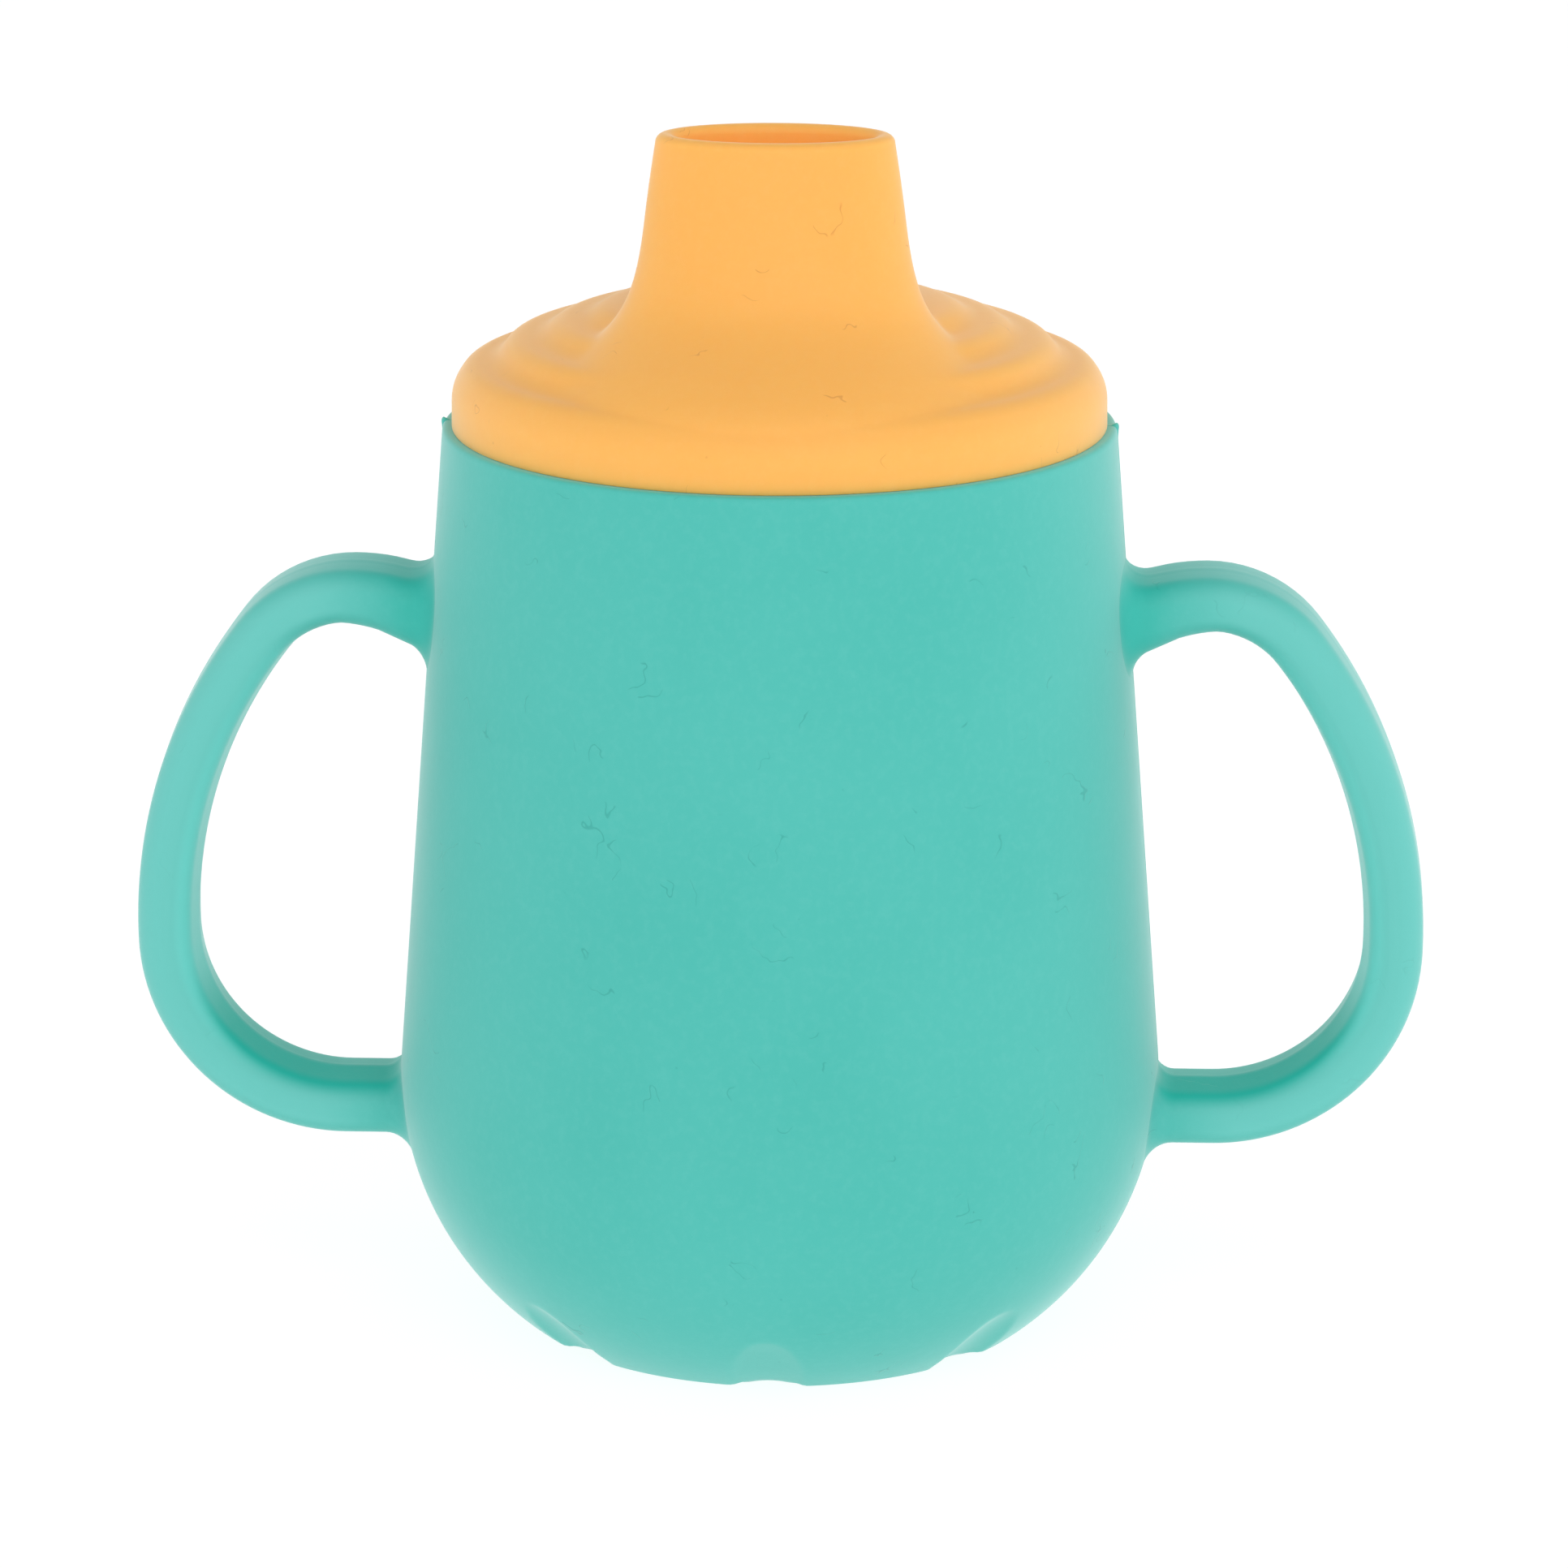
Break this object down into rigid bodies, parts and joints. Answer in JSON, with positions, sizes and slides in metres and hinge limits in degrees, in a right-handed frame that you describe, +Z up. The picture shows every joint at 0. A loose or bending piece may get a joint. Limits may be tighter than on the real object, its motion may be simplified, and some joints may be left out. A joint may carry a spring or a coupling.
{
  "type": "sippy cup",
  "caption": "Toddler sippy cup with two moulded loop handles, a push-in lid with an oval drinking spout, and a pull-out spill valve under the spout.",
  "frame": {"origin": "centre of the foot ring on the surface that the cup stands on", "axes": "+Z up along the cup's axis, +X towards the right handle, -Y towards the spout side"},
  "size_m": [0.126, 0.075, 0.1193],
  "materials": {
    "teal_silicone": "matte, fine moulded texture",
    "apricot_silicone": "matte, fine moulded texture",
    "clear_silicone": "milky translucent, smooth"
  },
  "bodies": {
    "cup": {"cup_body": "teal_silicone", "handle_left": "teal_silicone", "handle_right": "teal_silicone"},
    "lid": {"spout_lid": "apricot_silicone"},
    "valve": {"spill_valve": "clear_silicone"}
  },
  "joints": [
    {"name": "lid_lift", "type": "slide", "parent": "cup", "child": "lid", "axis": [0, 0, 1], "range_m": [0, 0.09]},
    {"name": "valve_pull", "type": "slide", "parent": "lid", "child": "valve", "axis": [0, 0, -1], "range_m": [0, 0.012]}
  ]
}
